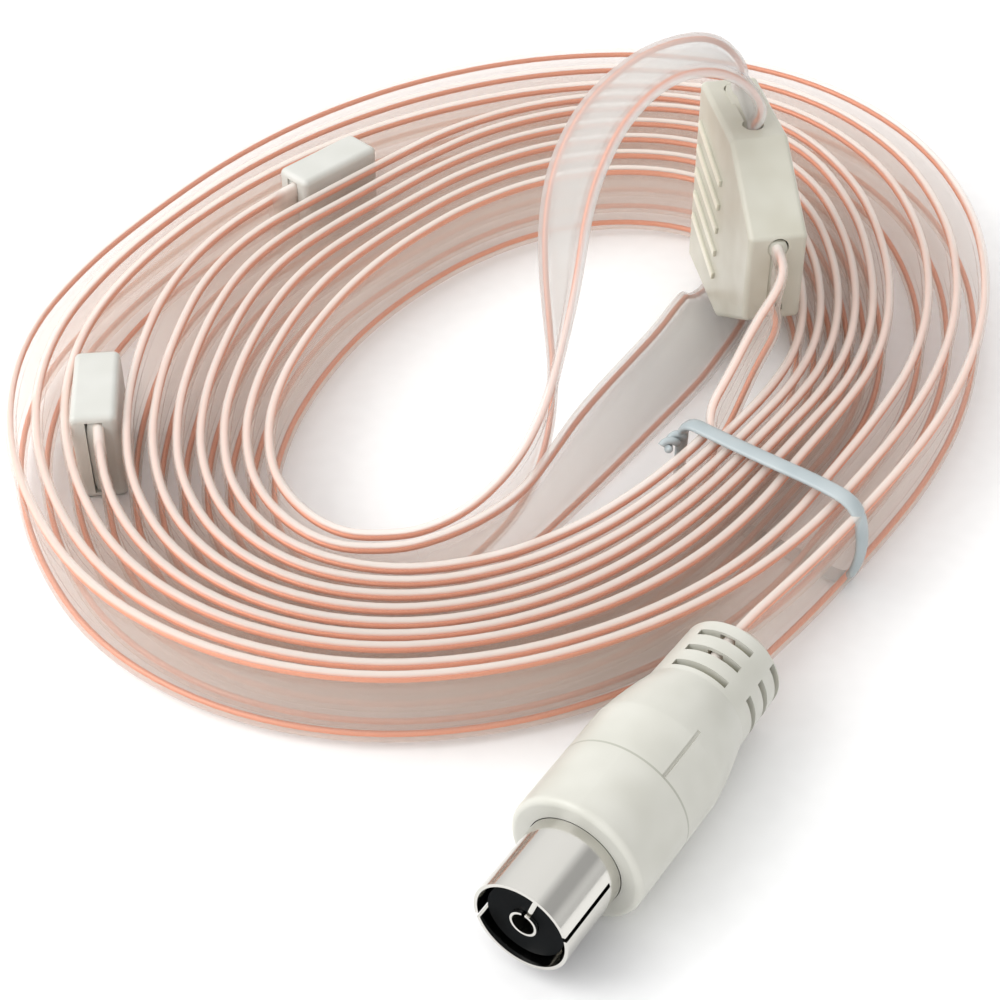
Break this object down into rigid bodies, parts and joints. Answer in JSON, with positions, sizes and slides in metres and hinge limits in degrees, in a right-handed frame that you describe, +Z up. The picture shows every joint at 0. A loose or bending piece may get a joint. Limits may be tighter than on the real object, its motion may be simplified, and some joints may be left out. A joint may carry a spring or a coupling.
{
  "type": "fm wire antenna",
  "caption": "Flat twin-lead dipole antenna, wound into an oval coil under a wire tie, with a junction box, two end caps and a coaxial plug",
  "frame": {"origin": "on the floor, under the middle of the whole part's box", "axes": "+X to the right of the coil, +Y from the plug towards the back of the coil, +Z up"},
  "size_m": [0.1219, 0.1604, 0.0419],
  "materials": {
    "clear_ribbon": "clear flexible PVC that shows the copper strands along both edges",
    "ivory_plastic": "smooth ivory moulding",
    "white_plastic": "smooth white moulding",
    "nickel": "bright nickel plate",
    "black_plastic": "black insulating plastic",
    "tie_coating": "pale grey coated wire strip"
  },
  "bodies": {
    "root": {"arm_a_ribbon": "clear_ribbon", "arm_b_ribbon": "clear_ribbon", "feeder_ribbon": "clear_ribbon", "junction_box": "ivory_plastic", "end_cap_a": "white_plastic", "end_cap_b": "white_plastic", "plug_body": "ivory_plastic", "plug_collar": "ivory_plastic", "plug_sleeve": "nickel", "plug_insulator": "black_plastic", "centre_contact": "nickel", "twist_tie": "tie_coating"}
  },
  "joints": []
}
